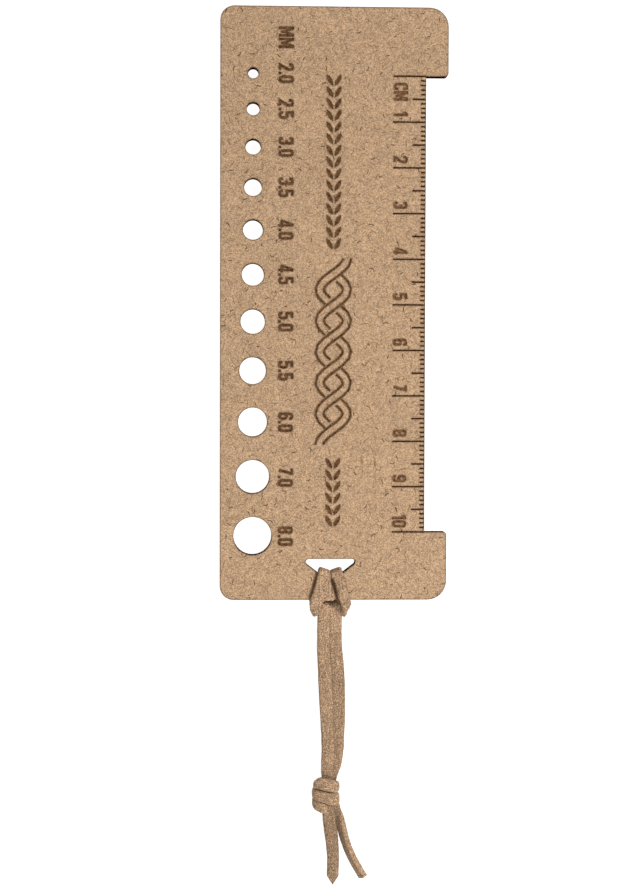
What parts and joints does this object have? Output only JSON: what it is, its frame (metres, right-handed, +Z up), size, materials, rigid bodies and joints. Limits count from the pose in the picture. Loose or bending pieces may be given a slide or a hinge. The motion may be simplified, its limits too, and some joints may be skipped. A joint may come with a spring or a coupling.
{
  "type": "knitting ruler",
  "caption": "Flat fibreboard knitting ruler with a row of needle-gauge holes, a centimetre scale cut back between two jaws, and a knotted suede lace hitched through a slot.",
  "frame": {"origin": "on the table, under the middle of the board, which lies on its back", "axes": "+X across the board from the needle-gauge holes to the scale, +Y along the board away from the lace, +Z up, out of the reading side"},
  "size_m": [0.05, 0.1945, 0.0067],
  "materials": {
    "fibreboard": "bare medium-density fibreboard, laser-engraved, with charred cut edges",
    "suede": "soft napped suede lace"
  },
  "bodies": {
    "ruler": {"board": "fibreboard", "lace_hitch": "suede"},
    "lace_neck": {"lace_neck_left": "suede", "lace_neck_right": "suede"},
    "lace": {"strand_left": "suede", "strand_right": "suede", "lace_knot": "suede", "tail_left": "suede", "tail_right": "suede"}
  },
  "joints": [
    {"name": "lace_lift", "type": "hinge", "parent": "ruler", "child": "lace_neck", "pos_m": [-0.00062, -0.0715, 0.002], "axis": [-1, 0, 0], "range_deg": [0, 120], "deforming": ["lace_neck_left", "lace_neck_right"]},
    {"name": "lace_swing", "type": "hinge", "parent": "lace_neck", "child": "lace", "pos_m": [-0.00062, -0.0753, 0.0015], "axis": [0, 0, 1], "range_deg": [-60, 60], "deforming": ["lace_neck_left", "lace_neck_right"]}
  ]
}
